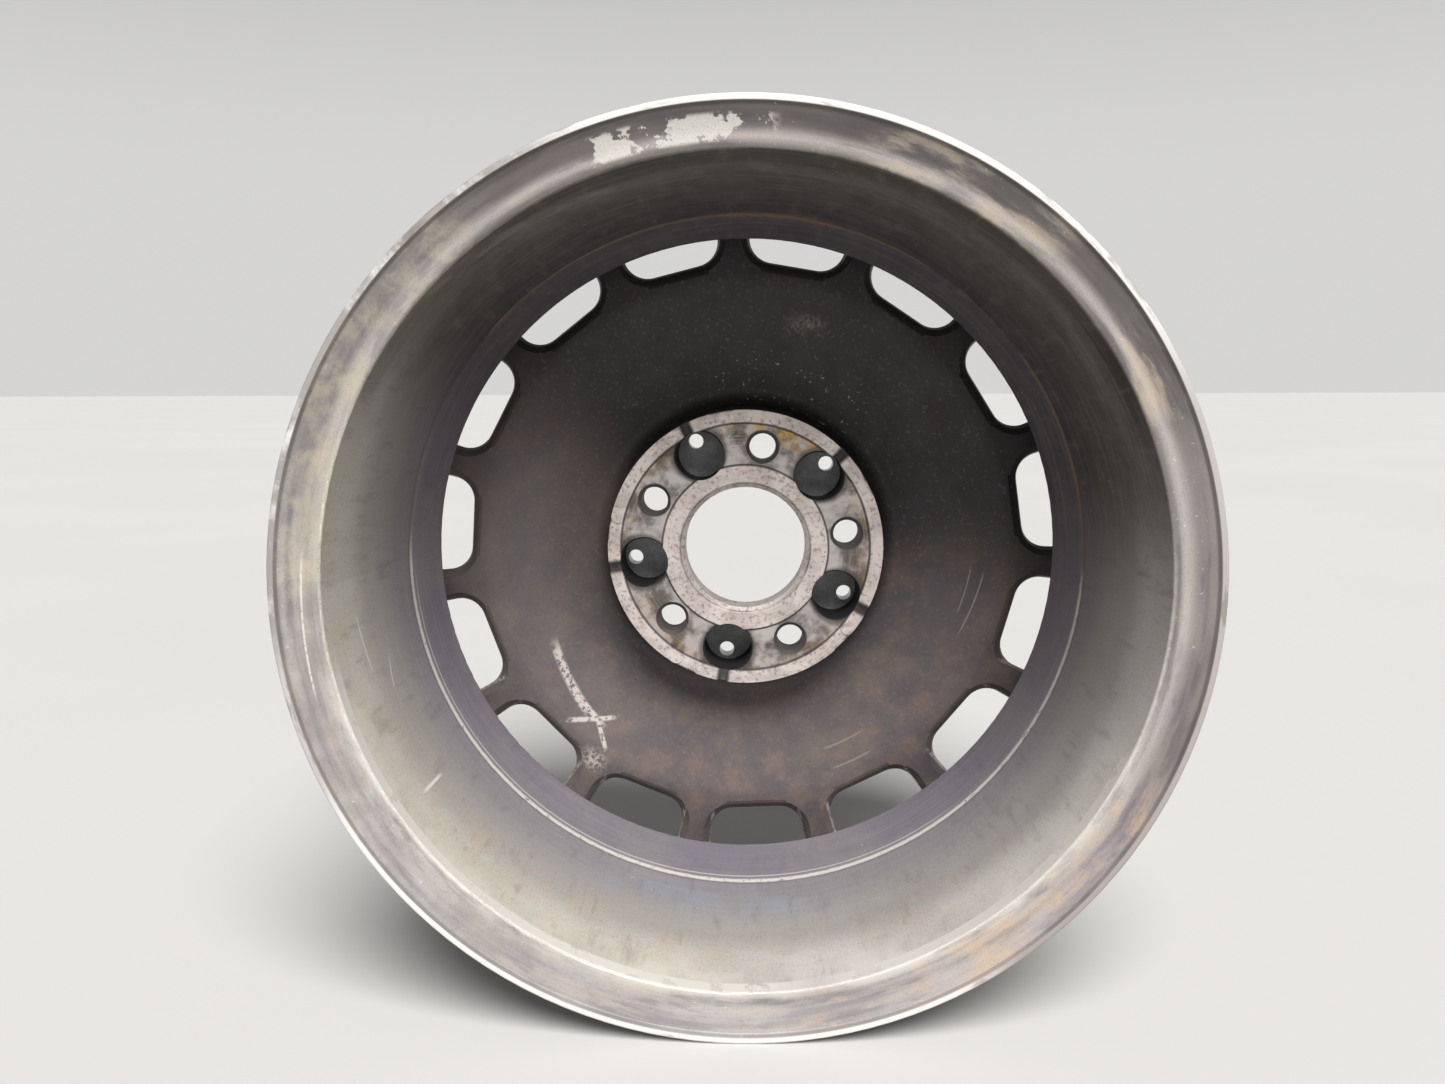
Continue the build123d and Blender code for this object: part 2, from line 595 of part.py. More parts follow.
# spring between the chamber's floor and the pin's collar
SPRING_WIRE = 0.13
SPRING_COIL_RADIUS = 0.8
SPRING_TURNS = 5
SPRING_GAP = 0.01
spring_height = collar_bottom - spring_floor - 2 * (SPRING_WIRE + SPRING_GAP)
spring_base = VALVE_ORIGIN + VALVE_DIRECTION * (spring_floor + SPRING_WIRE + SPRING_GAP)
with BuildPart() as core_spring:
    with BuildLine() as coil:
        Helix(
            spring_height / SPRING_TURNS, spring_height, SPRING_COIL_RADIUS,
            center=spring_base, direction=VALVE_DIRECTION,
        )
    with BuildSketch(Plane(origin=coil.line @ 0, z_dir=coil.line % 0)):
        Circle(SPRING_WIRE)
    sweep(is_frenet=True)
save(core_spring, "core_spring")

# knurled cap that screws over the stem, and the rubber disc inside it
CAP_RADIUS = 4.7
CAP_SKIRT = 8.7
CAP_TOP_THICK = 1.3
CAP_SEAL_THICK = 0.8
CAP_SEAL_BORE = 1.2
KNURL_COUNT = 20
KNURL_RADIUS = 0.45
KNURL_END = 1.2                   # plain band at each end of the knurling
cap_bottom = mouth - CAP_SKIRT
cap_seal_bottom = mouth + 0.02
cap_ceiling = cap_seal_bottom + CAP_SEAL_THICK
cap_top = cap_ceiling + CAP_TOP_THICK
with BuildPart() as valve_cap:
    add(turned(
        (nut_bore + EDGE, cap_bottom),
        (CAP_RADIUS - EDGE, cap_bottom),
        (CAP_RADIUS, cap_bottom + EDGE),
        (CAP_RADIUS, cap_ceiling - EDGE),
        (CAP_RADIUS - 2 * EDGE, cap_top - EDGE),
        (CAP_RADIUS - 4 * EDGE, cap_top),
        (0, cap_top),
        (0, cap_ceiling),
        (nut_bore, cap_ceiling),
        (nut_bore, cap_bottom + EDGE),
    ))
    with BuildSketch(VALVE_SEAT.offset(cap_bottom + KNURL_END)):
        with PolarLocations(CAP_RADIUS + KNURL_RADIUS / 2, KNURL_COUNT):
            Circle(KNURL_RADIUS)
    extrude(amount=CAP_SKIRT - 2 * KNURL_END, mode=Mode.SUBTRACT)
save(valve_cap, "valve_cap")

with BuildPart() as cap_seal:
    add(turned(
        (CAP_SEAL_BORE, cap_seal_bottom),
        (THREAD_CREST - RUNNING_CLEARANCE, cap_seal_bottom),
        (THREAD_CREST - RUNNING_CLEARANCE, cap_ceiling - 0.02),
        (CAP_SEAL_BORE, cap_ceiling - 0.02),
    ))
save(cap_seal, "cap_seal")
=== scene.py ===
"""How the forged wheel rim and its tyre valve look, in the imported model's frame.

The wheel's axis is Y, its front (outboard) face looks towards -Y, and +Z is up. Shader lengths are in
millimetres. Depth is measured from the inboard lip towards the front, and a place round the wheel is
an angle in degrees, anticlockwise for someone looking at the wheel's back, from that person's right.
"""
import math
from collections import namedtuple

import bpy
from mathutils import Matrix, Vector


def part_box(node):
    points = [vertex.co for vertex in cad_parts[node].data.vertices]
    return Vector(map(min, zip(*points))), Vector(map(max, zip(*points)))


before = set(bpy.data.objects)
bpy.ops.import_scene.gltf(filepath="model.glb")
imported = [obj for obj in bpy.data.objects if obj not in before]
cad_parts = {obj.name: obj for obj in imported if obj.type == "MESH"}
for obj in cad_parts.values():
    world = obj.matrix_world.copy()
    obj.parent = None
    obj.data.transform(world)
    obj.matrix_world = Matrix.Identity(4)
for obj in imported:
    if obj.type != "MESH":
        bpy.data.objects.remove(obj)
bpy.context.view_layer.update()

# ---------------------------------------------------------------- sizes, from the frame

MM = 0.001
WHEEL_LOW, WHEEL_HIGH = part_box("wheel_forging")
LIP_RADIUS = WHEEL_HIGH.z / MM
INBOARD_LIP = WHEEL_HIGH.y / MM
WHEEL_DEPTH = (WHEEL_HIGH.y - WHEEL_LOW.y) / MM

LIP_INNER = LIP_RADIUS - 3.0          # the rounded lip ends here and the flange face begins
CORNER_RADIUS = LIP_RADIUS - 21.5     # where the flange face turns into the barrel
SHELF_DEPTH = 101.0                   # the barrel's long even part ends here
THROAT_DEPTH = 133.5                  # its narrowest place
SPOKE_RADIUS = 156.0                  # where the windows begin
BOSS_RADIUS = 78.0                    # foot of the mounting boss
PAD_RADIUS = 75.5                     # edge of the machined mounting pad
LAND_DEPTH = 144.0                    # the pad's two raised lands
LAND_EDGE = 68.1                      # inner edge of the outer land
INNER_LAND_EDGE = 45.5                # outer edge of the inner land
BORE_RADIUS = 36.0
FRONT_DEPTH = 175.0                   # deeper than this is the lacquered front
RECESS_DEPTH = 163.5                  # the centre cap's recess is behind this
RECESS_RADIUS = BORE_RADIUS + 2.3
PAD_FLOOR = 146.0                     # the machined pad ends here
ANNULUS_DEPTH = 145.0                 # the relieved ring between the lands
HOLES_REACH = 72.5                    # pockets and bolt holes lie inside this radius
WELL_RADIUS = 165.0                   # the outside of the rim's well
SEAT_RADIUS = 187.5                   # the bead seats
LIP_ROUND = 3.6                       # depth of the rounded lips
WINDOWS = 15
WINDOW_PITCH = 360.0 / WINDOWS
WINDOW_HALF_ANGLE = 9.0
BOLT_PITCH = 72.0
BOLT_CIRCLE = 56.0                    # its radius
BOLT_MOUTH_RADIUS = 9.0
POCKET_RADIUS = 13.2
FIRST_BOLT = 80.2                     # the wheel stands turned 9.8 degrees from a bolt hole at the top
FIRST_POCKET = FIRST_BOLT + BOLT_PITCH / 2.0
FIRST_WINDOW = FIRST_BOLT

# Stretches round the wheel, each from one angle to another with the width of its soft ends in degrees.

FLANGE_TOP = (342.0, 518.0, 20.0)
FLANGE_CROWN = (28.0, 118.0, 14.0)
SHADED_TOP_CORNER = (352.0, 486.0, 16.0)
LIT_RIGHT = (24.0, 33.0, 3.0)
LIT_ABOVE = (50.0, 71.0, 5.0)
OCHRE_STRETCH = (283.0, 328.0, 8.0)
KHAKI_STRETCH = (132.0, 178.0, 10.0)
BROWN_STRETCH = (182.0, 240.0, 8.0)
CHIPPED_TOP = (88.0, 108.0, 3.0)
LIP_LOWER_RIGHT = (300.0, 380.0, 16.0)
LIP_UPPER_LEFT = (120.0, 182.0, 12.0)
LIP_BOTTOM = (214.0, 296.0, 12.0)
BARREL_LEFT = (172.0, 236.0, 30.0)
WARM_STRETCH = (205.0, 300.0, 20.0)
OLIVE_STRETCH = (150.0, 262.0, 16.0)
BLUE_STRETCH = (248.0, 278.0, 10.0)
DARK_OLIVE_STRETCH = (42.0, 146.0, 12.0)
SMEAR_STRETCH = (110.0, 143.0, 4.0)
WORN_LEFT_BOTTOM = (198.0, 272.0, 10.0)
WORN_RIGHT_BOTTOM = (288.0, 332.0, 8.0)
SHELF_END_STRETCH = (182.0, 352.0, 8.0)
SECOND_LINE_STRETCH = (190.0, 300.0, 12.0)
CREST_STRETCH = (196.0, 344.0, 12.0)
BAND_RIGHT = (0.0, 35.0, 4.0)
BAND_TOP = (60.0, 136.0, 4.0)
SPIKES_STRETCH = (77.0, 92.0, 3.0)
DISC_LEFT = (165.0, 226.0, 26.0)
DISC_SPECKS = (52.0, 98.0, 8.0)
GOLD_STRETCH = (52.0, 80.0, 10.0)

Mark = namedtuple("Mark", "angle middle half_length half_width slope", defaults=[0.0])

# Scratches: where round the wheel, at which radius or depth, how long and wide, and how they lean.

FLANGE_SCRATCH = [Mark(185.0, 194.5, 36.0, 0.6, 0.03)]
BARREL_SCRATCHES = [
    Mark(190.0, 39.0, 16.0, 0.5, 0.15),
    Mark(214.0, 45.0, 1.0, 14.0),
    Mark(196.0, 58.0, 9.0, 0.4, -0.3),
]
DISC_SCRAPES = [
    Mark(218.0, 128.5, 26.0, 3.4, 0.22),
    Mark(225.0, 131.0, 20.0, 2.2, 0.16),
    Mark(229.0, 135.0, 12.0, 2.6, -0.9),
    Mark(233.0, 138.0, 9.0, 2.2, 0.8),
]
DISC_ARCS = [
    Mark(345.0, 133.0, 22.0, 0.6, 0.1),
    Mark(348.0, 127.0, 16.0, 0.5, 0.05),
]
DISC_FAINT_LINES = [
    Mark(296.0, 127.5, 14.0, 0.7),
    Mark(296.0, 139.5, 14.0, 0.7),
]


# ---------------------------------------------------------------- shader arithmetic

class Wire:
    """A number on its way between shader nodes; arithmetic on it adds the nodes."""

    def __init__(self, paint, socket):
        self.paint = paint
        self.socket = socket

    def __add__(self, other):
        return self.paint.calculate("ADD", self, other)

    def __sub__(self, other):
        return self.paint.calculate("SUBTRACT", self, other)

    def __rsub__(self, other):
        return self.paint.calculate("SUBTRACT", other, self)

    def __mul__(self, other):
        return self.paint.calculate("MULTIPLY", self, other)

    def __truediv__(self, other):
        return self.paint.calculate("DIVIDE", self, other)

    def __abs__(self):
        return self.paint.calculate("ABSOLUTE", self)

    __radd__ = __add__
    __rmul__ = __mul__

    def larger(self, other):
        return self.paint.calculate("MAXIMUM", self, other)

    def wrapped(self, half):
        """The same angle or length, brought into the range -half to half."""
        return self.paint.calculate("WRAP", self, half, -half)

    def rises(self, start, end):
        """0 up to start, 1 from end on, and a smooth ramp between them."""
        ramp = self.paint.add("ShaderNodeMapRange", interpolation_type="SMOOTHSTEP")
        self.paint.connect(self, ramp.inputs["Value"])
        ramp.inputs["From Min"].default_value = start
        ramp.inputs["From Max"].default_value = end
        return Wire(self.paint, ramp.outputs["Result"])

    def falls(self, start, end):
        """1 up to start and 0 from end on: the same ramp with its ends swapped."""
        return self.rises(end, start)

    def within(self, low, high, soft):
        """1 between low and high, fading to 0 over soft on both sides."""
        return self.rises(low - soft, low) * self.falls(high, high + soft)

    def near(self, middle, reach):
        """1 at middle, fading to 0 at reach from it."""
        return abs(self - middle).falls(0.0, reach)


Finish = namedtuple("Finish", "colour roughness metallic relief")

FIRST_COLOUR = 6                      # the Mix node's colour sockets, which share names with others
SECOND_COLOUR = 7
MIXED_COLOUR = 2


def srgb(code):
    """The linear colour of a code such as 9c8f86."""
    channels = [int(code[k:k + 2], 16) / 255.0 for k in (0, 2, 4)]
    # the standard curve: a straight part for the darkest colours, then a power
    return tuple(c / 12.92 if c <= 0.04045 else ((c + 0.055) / 1.055) ** 2.4 for c in channels)


class Paint:
    """One node material, with the wheel's own coordinates ready as wires."""

    def __init__(self, name):
        self.material = bpy.data.materials.new(name)
        self.material.use_nodes = True
        self.tree = self.material.node_tree
        self.shader = self.tree.nodes["Principled BSDF"]
        coordinates = self.add("ShaderNodeTexCoord")
        scaled = self.add("ShaderNodeVectorMath", operation="SCALE")
        self.tree.links.new(coordinates.outputs["Object"], scaled.inputs[0])
        scaled.inputs["Scale"].default_value = 1.0 / MM
        self.place = scaled.outputs["Vector"]
        self.x, self.y, self.z = self.parts(self.place)

    def add(self, kind, **settings):
        node = self.tree.nodes.new(kind)
        for setting, value in settings.items():
            setattr(node, setting, value)
        return node

    def connect(self, source, target):
        """Links a wire or a socket to an input, or sets the input to a constant."""
        if isinstance(source, Wire):
            self.tree.links.new(source.socket, target)
        elif isinstance(source, bpy.types.NodeSocket):
            self.tree.links.new(source, target)
        elif isinstance(source, tuple):
            target.default_value = (*source, 1.0)
        else:
            target.default_value = source

    def parts(self, vector):
        split = self.add("ShaderNodeSeparateXYZ")
        self.tree.links.new(vector, split.inputs[0])
        return [Wire(self, socket) for socket in split.outputs]

    def vector(self, *wires):
        joined = self.add("ShaderNodeCombineXYZ")
        for wire, socket in zip(wires, joined.inputs):
            self.connect(wire, socket)
        return joined.outputs[0]

    def calculate(self, operation, *values):
        node = self.add("ShaderNodeMath", operation=operation)
        for value, socket in zip(values, node.inputs):
            self.connect(value, socket)
        return Wire(self, node.outputs[0])

    def noise(self, size, detail=3.0, roughness=0.55, at=None):
        """Cloudy noise from 0 to 1 with blotches about size millimetres across."""
        texture = self.add("ShaderNodeTexNoise")
        self.tree.links.new(at or self.place, texture.inputs["Vector"])
        texture.inputs["Scale"].default_value = 1.0 / size
        texture.inputs["Detail"].default_value = detail
        texture.inputs["Roughness"].default_value = roughness
        return Wire(self, texture.outputs["Fac"])

    def grains(self, size):
        """Distance from the nearest of many scattered points, in units of size millimetres."""
        texture = self.add("ShaderNodeTexVoronoi")
        self.tree.links.new(self.place, texture.inputs["Vector"])
        texture.inputs["Scale"].default_value = 1.0 / size
        return Wire(self, texture.outputs["Distance"])

    def blend(self, amount, first, second):
        """The first colour where amount is 0 and the second where it is 1."""
        mix = self.add("ShaderNodeMix", data_type="RGBA")
        self.connect(amount, mix.inputs["Factor"])
        self.connect(first, mix.inputs[FIRST_COLOUR])
        self.connect(second, mix.inputs[SECOND_COLOUR])
        return mix.outputs[MIXED_COLOUR]

    def cover(self, under, over, amount):
        """One finish over another, where amount is 1."""
        def share(low, high):
            return low if low is high else amount * (high - low) + low
        return Finish(self.blend(amount, under.colour, over.colour),
                      share(under.roughness, over.roughness),
                      share(under.metallic, over.metallic),
                      share(under.relief, over.relief))

    def apply(self, finish):
        """Wires a finish to the shader; its relief is in millimetres."""
        self.connect(finish.colour, self.shader.inputs["Base Color"])
        self.connect(finish.roughness, self.shader.inputs["Roughness"])
        self.connect(finish.metallic, self.shader.inputs["Metallic"])
        bump = self.add("ShaderNodeBump")
        bump.inputs["Distance"].default_value = MM
        self.connect(finish.relief, bump.inputs["Height"])
        self.tree.links.new(bump.outputs["Normal"], self.shader.inputs["Normal"])
        return self.material


# ---------------------------------------------------------------- the forging's paint and metal

# The numbers given to rises, falls, within and near are levels of the wire before them: noise from 0 to 1,
# millimetres, or the cosine of an angle. A factor after them is how much of the colour shows.

class WheelPaint(Paint):
    """The forging's material: one finish for each zone of the wheel, told apart by place and by facing."""

    def __init__(self, name):
        super().__init__(name)
        self.radius = self.calculate("SQRT", self.x * self.x + self.z * self.z)
        self.depth = INBOARD_LIP - self.y
        self.height = self.z / self.radius
        self.side = self.x / self.radius
        geometry = self.add("ShaderNodeNewGeometry")
        facing_x, self.facing_back, facing_z = self.parts(geometry.outputs["Normal"])
        self.outward = facing_x * self.side + facing_z * self.height
        self.turn = self.calculate("ARCTAN2", self.z, self.x * -1.0) * math.degrees(1.0)
        self.mottle = self.noise(60.0, detail=4.0)
        self.cloud = self.noise(17.0, detail=5.0, roughness=0.65)
        self.speckle = self.noise(2.2, detail=3.0, roughness=0.65)
        self.dust = self.noise(0.55, detail=1.0)
        self.orange_peel = self.noise(1.6, detail=0.0) * 0.012
        self.depth_lines = self.noise(1.3, detail=2.0, at=self.drawn_round(self.depth, 0.02))
        self.turning = self.noise(0.45, detail=2.0, at=self.drawn_round(self.radius, 0.02))
        self.streaks = self.noise(7.0, detail=4.0, roughness=0.62, at=self.drawn_round(self.radius, 0.22))
        self.turning_bands = self.noise(4.5, detail=2.0, at=self.drawn_round(self.radius, 0.03))
        self.ragged = self.noise(4.0, detail=4.0, roughness=0.7)
        self.axial = self.noise(5.0, detail=3.0, at=self.vector(self.x, self.depth * 0.12, self.z))

    def drawn_round(self, across, squeeze):
        """A place for noise that varies along across and little round the wheel, for lines round it."""
        return self.vector(self.x * squeeze, across, self.z * squeeze)

    def towards(self, angle):
        """The cosine of the angle between a place and the given direction round the wheel."""
        across = math.cos(math.radians(angle))
        above = math.sin(math.radians(angle))
        return self.height * above - self.side * across

    def sector(self, first, last, soft=6.0):
        """1 between two angles round the wheel, fading to 0 over soft degrees."""
        half = (last - first) / 2.0
        near_edge = math.cos(math.radians(half))
        far_edge = math.cos(math.radians(min(half + soft, 180.0)))
        return self.towards(first + half).rises(far_edge, near_edge)

    def along(self, angle):
        """Millimetres round the wheel from the given angle, anticlockwise."""
        across = math.cos(math.radians(angle))
        above = math.sin(math.radians(angle))
        return self.z * across + self.x * above

    def stroke(self, across, mark):
        """A thin scratch: across is the depth or radius wire that it crosses at its middle."""
        run = self.along(mark.angle)
        width = abs(across - mark.middle - run * mark.slope).falls(mark.half_width * 0.4, mark.half_width)
        length = abs(run).falls(mark.half_length * 0.6, mark.half_length)
        return width * length * self.towards(mark.angle).rises(0.2, 0.4)

    def strokes(self, across, marks):
        """Several scratches together."""
        drawn = self.stroke(across, marks[0])
        for mark in marks[1:]:
            drawn = drawn.larger(self.stroke(across, mark))
        return drawn

    def spot(self, angle, radius, half_length, half_width):
        """A soft patch: 1 in its middle, fading to 0 at its half length round and half width across."""
        around = self.along(angle).near(0.0, half_length)
        return around * self.radius.near(radius, half_width) * self.towards(angle).rises(0.5, 0.7)

    def from_hole(self, first_angle):
        """Millimetres from the middle of the nearest of five places on the bolt circle."""
        turn = (self.turn - first_angle).wrapped(BOLT_PITCH / 2.0)
        aside = turn * (BOLT_CIRCLE * math.radians(1.0))
        inside = self.radius - BOLT_CIRCLE
        return self.calculate("SQRT", aside * aside + inside * inside)


# Blends a colour towards near-black, both for grime and for painted shade.
def soot_and_shade(paint, colour, amount):
    return paint.blend(amount, colour, srgb("141110"))


def flange(paint):
    """The inboard flange face: thin worn paint with beige streaks, bare metal patches and painted highlights
    on its upper right.
    """
    streaks = paint.streaks
    colour = paint.blend(paint.mottle.rises(0.38, 0.64), srgb("7b7577"), srgb("908b8a"))
    inner = paint.radius.falls(190.0, 196.0)
    colour = paint.blend(inner * 0.6, colour, srgb("9f9993"))
    bands = paint.turning_bands.rises(0.36, 0.64)
    colour = paint.blend(bands * 0.4, colour, srgb("a7a09a"))
    colour = paint.blend(paint.turning_bands.falls(0.3, 0.46) * 0.4, colour, srgb("5e5858"))
    colour = paint.blend(streaks.rises(0.46, 0.64) * 0.45, colour, srgb("a99d90"))
    colour = paint.blend(streaks.falls(0.34, 0.46) * 0.4, colour, srgb("5c5555"))
    top = paint.sector(*FLANGE_TOP) * paint.radius.rises(191.0, 197.0)
    colour = paint.blend(top * 0.5, colour, srgb("453f3f"))
    crown = paint.sector(*FLANGE_CROWN) * paint.radius.rises(192.0, 196.0)
    colour = paint.blend(crown * 0.45, colour, srgb("332d2c"))
    # Painted shade: the flange's corner into the barrel is darkened across the top of the wheel.
    top_corner = paint.sector(*SHADED_TOP_CORNER) * paint.radius.falls(187.0, 191.5)
    colour = soot_and_shade(paint, colour, top_corner * 0.6)
    # Painted highlights: pinkish-beige streaks on the flange's upper right, where light would catch it.
    painted_highlight = (paint.sector(*LIT_RIGHT) + paint.sector(*LIT_ABOVE)) * streaks.rises(0.42, 0.6)
    colour = paint.blend(painted_highlight * 0.5, colour, srgb("b3a492"))
    ochre = paint.sector(*OCHRE_STRETCH) * paint.cloud.rises(0.45, 0.66) * streaks.rises(0.35, 0.6)
    colour = paint.blend(ochre * 0.5, colour, srgb("b39677"))
    khaki = paint.sector(*KHAKI_STRETCH) * paint.cloud.rises(0.4, 0.62)
    colour = paint.blend(khaki * 0.4, colour, srgb("b0a68d"))
    brown = paint.sector(*BROWN_STRETCH) * paint.cloud.falls(0.42, 0.6)
    colour = paint.blend(brown * 0.35, colour, srgb("746c66"))
    chips = (paint.cloud + paint.speckle * 0.25).rises(0.63, 0.66) * paint.sector(*CHIPPED_TOP)
    chips = chips * paint.radius.within(190.5, 199.0, 2.0)
    specks = paint.speckle.rises(0.67, 0.71) * paint.mottle.rises(0.45, 0.6)
    scratch = paint.strokes(paint.radius, FLANGE_SCRATCH)
    bare = chips.larger(specks * 0.6).larger(scratch * paint.speckle.rises(0.35, 0.5))
    colour = paint.blend(bare * 0.85, colour, srgb("d8d4cd"))
    colour = paint.blend(paint.dust.rises(0.5, 0.75) * 0.3, colour, srgb("4b4646"))
    return Finish(colour, paint.cloud * 0.3 + 0.3, bare * 0.5, paint.orange_peel + streaks * 0.06)


def lip(paint):
    """The rounded lip: bright, with a painted highlight towards its top, painted shade on its lower right
    and upper left, a lighter stretch at the bottom, and short dark nicks.
    """
    # Painted highlight: the lip is lighter towards its top.
    colour = paint.blend(paint.height.rises(-0.8, 0.5), srgb("a39998"), srgb("c9c7c4"))
    # Painted shade on the lower right.
    shaded_lower_right = paint.sector(*LIP_LOWER_RIGHT)
    colour = paint.blend(shaded_lower_right * 0.6, colour, srgb("867d7a"))
    # Painted shade on the upper left, in cloudy patches.
    dull = paint.sector(*LIP_UPPER_LEFT) * paint.cloud.rises(0.3, 0.5)
    colour = paint.blend(dull * 0.75, colour, srgb("766d6a"))
    # Lighter along the bottom.
    lighter_bottom = paint.sector(*LIP_BOTTOM)
    colour = paint.blend(lighter_bottom * 0.7, colour, srgb("e4e1dc"))
    dirt = paint.streaks.rises(0.56, 0.66)
    colour = paint.blend(dirt * 0.5, colour, srgb("5f5753"))
    return Finish(colour, 0.36 + paint.speckle * 0.2, 0.1, paint.orange_peel + paint.streaks * 0.06)


def barrel(paint):
    """The barrel's inside: grey wheel paint under brake dust, with painted shade darkening it towards the
    top and painted light on its left.
    """
    colour = paint.blend(paint.depth.rises(24.0, 52.0), srgb("b3aea9"), srgb("8d8985"))
    colour = paint.blend(paint.depth.rises(55.0, 92.0) * 0.8, colour, srgb("746f76"))
    colour = paint.blend(paint.depth.rises(98.0, 108.0) * 0.8, colour, srgb("65606a"))
    colour = paint.blend(paint.mottle.rises(0.4, 0.62) * 0.3, colour, srgb("857f77"))
    # Painted light: the barrel's left side is lightened near the lip.
    left = paint.sector(*BARREL_LEFT) * paint.depth.falls(30.0, 70.0)
    colour = paint.blend(left * 0.35, colour, srgb("a9a497"))
    warm = paint.sector(*WARM_STRETCH) * paint.depth.near(36.0, 30.0) * paint.cloud.rises(0.4, 0.62)
    colour = paint.blend(warm * 0.4, colour, srgb("a8957f"))
    olive = paint.sector(*OLIVE_STRETCH) * paint.depth.within(7.0, 20.0, 14.0)
    olive = olive * paint.streaks.rises(0.3, 0.6)
    colour = paint.blend(olive * 0.4, colour, srgb("a7a285"))
    blue = paint.sector(*BLUE_STRETCH) * paint.depth.near(80.0, 22.0) * paint.cloud.rises(0.4, 0.6)
    colour = paint.blend(blue * 0.45, colour, srgb("7f8692"))
    stains = paint.axial.rises(0.5, 0.68) * paint.cloud.rises(0.4, 0.6)
    colour = paint.blend(stains * 0.3, colour, srgb("5b5557"))
    # Painted shade: the barrel is darkened towards the top, less on the slope past the shelf, and more near
    # the lip at the top.
    upper = paint.towards(78.0).rises(0.08, 0.5)
    slope = paint.depth.rises(98.0, 106.0)
    colour = soot_and_shade(paint, colour, upper * (0.58 + paint.cloud * 0.34 - slope * 0.22))
    colour = soot_and_shade(paint, colour, paint.towards(75.0).rises(0.45, 0.75) * paint.depth.falls(14.0, 28.0) * 0.7)
    dark_olive = paint.sector(*DARK_OLIVE_STRETCH) * paint.depth.within(8.0, 17.0, 7.0)
    colour = paint.blend(dark_olive * 0.3, colour, srgb("5f5a48"))
    smear_line = abs(paint.depth - 17.0 + paint.along(126.0) * 0.22)
    smear = paint.sector(*SMEAR_STRETCH) * smear_line.falls(2.0, 7.0) * paint.cloud.rises(0.38, 0.55)
    colour = paint.blend(smear * 0.4, colour, srgb("8d867a"))
    soot_streaks = paint.axial.rises(0.52, 0.7) * upper
    colour = paint.blend(soot_streaks * 0.35, colour, srgb("756a62"))
    colour = paint.blend(paint.depth_lines.rises(0.45, 0.7) * 0.16, colour, srgb("9a9692"))
    colour = paint.blend(paint.dust.rises(0.5, 0.72) * 0.35, colour, srgb("383435"))
    scratches = paint.strokes(paint.depth, BARREL_SCRATCHES)
    specks = paint.speckle.rises(0.69, 0.72) * paint.mottle.rises(0.4, 0.55) * 0.5
    worn = scratches.larger(specks)
    colour = paint.blend(worn * 0.7, colour, srgb("cfccc6"))
    return Finish(colour, 0.4 + paint.cloud * 0.28, 0.0, paint.orange_peel + paint.depth_lines * 0.02)


def barrel_edges(paint, under):
    """Worn lines where the barrel's surfaces meet: the flange corner, the shelf's end and the throat."""
    wander = (paint.ragged - 0.5) * 5.0
    from_corner = abs(paint.radius - CORNER_RADIUS + 0.6 + wander * 0.22)
    from_shelf_end = abs(paint.depth - SHELF_DEPTH + wander * 0.35)
    lower = paint.sector(*WORN_LEFT_BOTTOM) + paint.sector(*WORN_RIGHT_BOTTOM)
    gaps = paint.cloud.rises(0.36, 0.46)
    corner = from_corner.falls(0.5, 1.2) * lower * gaps
    halo = from_corner.falls(1.0, 7.0) * lower * paint.streaks.rises(0.42, 0.6) * 0.45
    shelf_end = from_shelf_end.falls(0.7, 2.0) * paint.sector(*SHELF_END_STRETCH)
    shelf_end = shelf_end * paint.ragged.rises(0.3, 0.44)
    second = abs(paint.depth - SHELF_DEPTH - 4.0).falls(0.25, 0.7)
    second = second * paint.sector(*SECOND_LINE_STRETCH) * 0.4
    from_crest = abs(paint.depth - THROAT_DEPTH)
    crest = from_crest.falls(0.4, 1.3) * paint.sector(*CREST_STRETCH) * paint.ragged.rises(0.56, 0.62)
    corner = corner * paint.depth.falls(12.0, 14.0)
    halo = halo * paint.depth.falls(12.0, 30.0)
    bare = corner.larger(halo).larger(shelf_end * 0.9).larger(second).larger(crest * 0.7)
    finish = paint.cover(under, Finish(srgb("d4cfc8"), 0.45, 0.3, under.relief), bare)
    shadow_line = abs(paint.depth - SHELF_DEPTH + 2.2).falls(0.3, 1.2) * 0.3
    finish = paint.cover(finish, Finish(srgb("3a3536"), 0.7, 0.0, under.relief), shadow_line)
    upper = (paint.sector(*BAND_RIGHT) + paint.sector(*BAND_TOP)) * paint.ragged.rises(0.3, 0.48)
    spikes = paint.sector(*SPIKES_STRETCH) * paint.speckle.rises(0.42, 0.52)
    near_line = abs(paint.depth - SHELF_DEPTH)
    band = near_line.falls(0.8, 2.4) * upper + spikes * near_line.falls(2.0, 6.0)
    return paint.cover(finish, Finish(srgb("75624d"), 0.6, 0.0, under.relief), band * 0.8)


